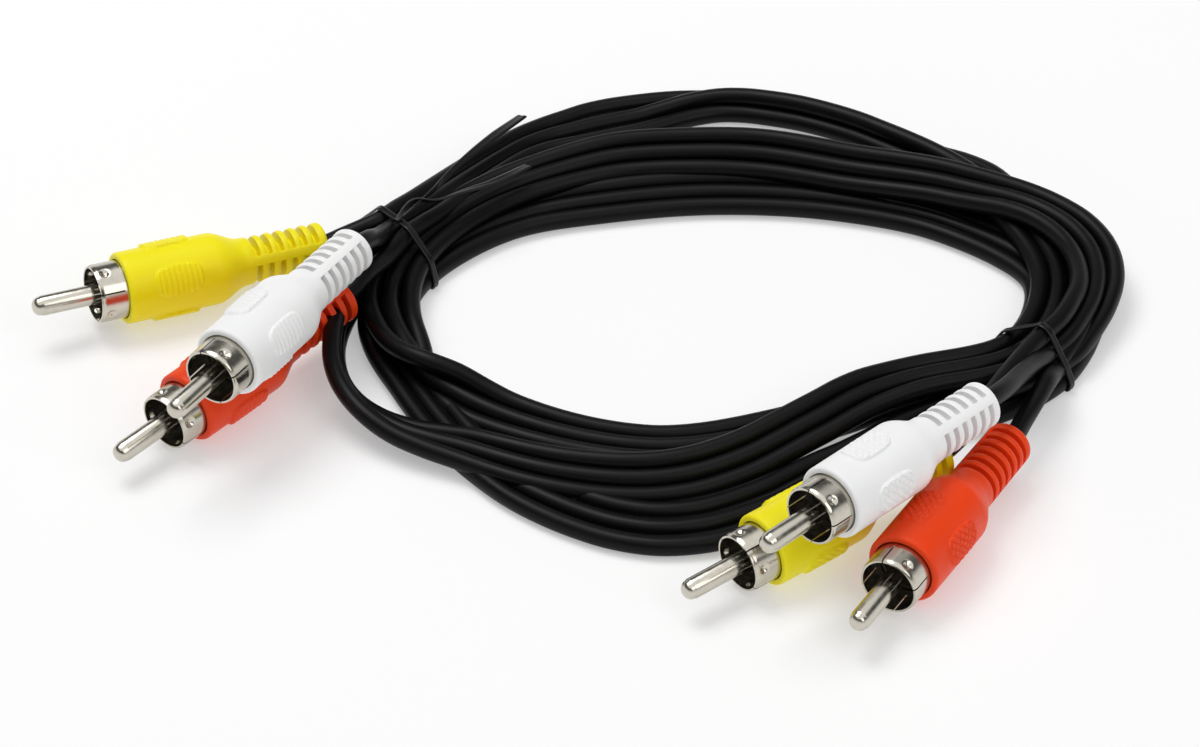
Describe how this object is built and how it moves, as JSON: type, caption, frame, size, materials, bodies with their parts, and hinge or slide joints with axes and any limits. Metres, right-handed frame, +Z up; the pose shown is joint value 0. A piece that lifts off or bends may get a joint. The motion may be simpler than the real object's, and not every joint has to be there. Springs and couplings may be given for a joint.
{
  "type": "rca audio cable",
  "caption": "Black three-core audio and video lead with yellow, white and red phono plugs at both ends, coiled flat and tied.",
  "frame": {"origin": "floor level, centre of the rectangle under the plugs and twist ties", "axes": "+X to the right along the coil's long side, +Y away from the viewer, +Z up"},
  "size_m": [0.1713, 0.1402, 0.0233],
  "materials": {
    "nickel": "bright nickel plate",
    "insulator": "matt moulded",
    "yellow_plastic": "semi-matt soft moulded",
    "white_plastic": "semi-matt soft moulded",
    "red_plastic": "semi-matt soft moulded",
    "cord_jacket": "semi-matt extruded",
    "tie_plastic": "satin"
  },
  "bodies": {
    "root": {"left_yellow_centre_pin": "nickel", "left_yellow_ground_shell": "nickel", "left_yellow_insulator": "insulator", "left_yellow_body": "yellow_plastic", "left_yellow_tail": "cord_jacket", "left_white_centre_pin": "nickel", "left_white_ground_shell": "nickel", "left_white_insulator": "insulator", "left_white_body": "white_plastic", "left_white_tail": "cord_jacket", "left_red_centre_pin": "nickel", "left_red_ground_shell": "nickel", "left_red_insulator": "insulator", "left_red_body": "red_plastic", "left_red_tail": "cord_jacket", "right_yellow_centre_pin": "nickel", "right_yellow_ground_shell": "nickel", "right_yellow_insulator": "insulator", "right_yellow_body": "yellow_plastic", "right_yellow_tail": "cord_jacket", "right_white_centre_pin": "nickel", "right_white_ground_shell": "nickel", "right_white_insulator": "insulator", "right_white_body": "white_plastic", "right_white_tail": "cord_jacket", "right_red_centre_pin": "nickel", "right_red_ground_shell": "nickel", "right_red_insulator": "insulator", "right_red_body": "red_plastic", "right_red_tail": "cord_jacket", "coil": "cord_jacket", "left_twist_tie": "tie_plastic", "right_twist_tie": "tie_plastic"}
  },
  "joints": []
}
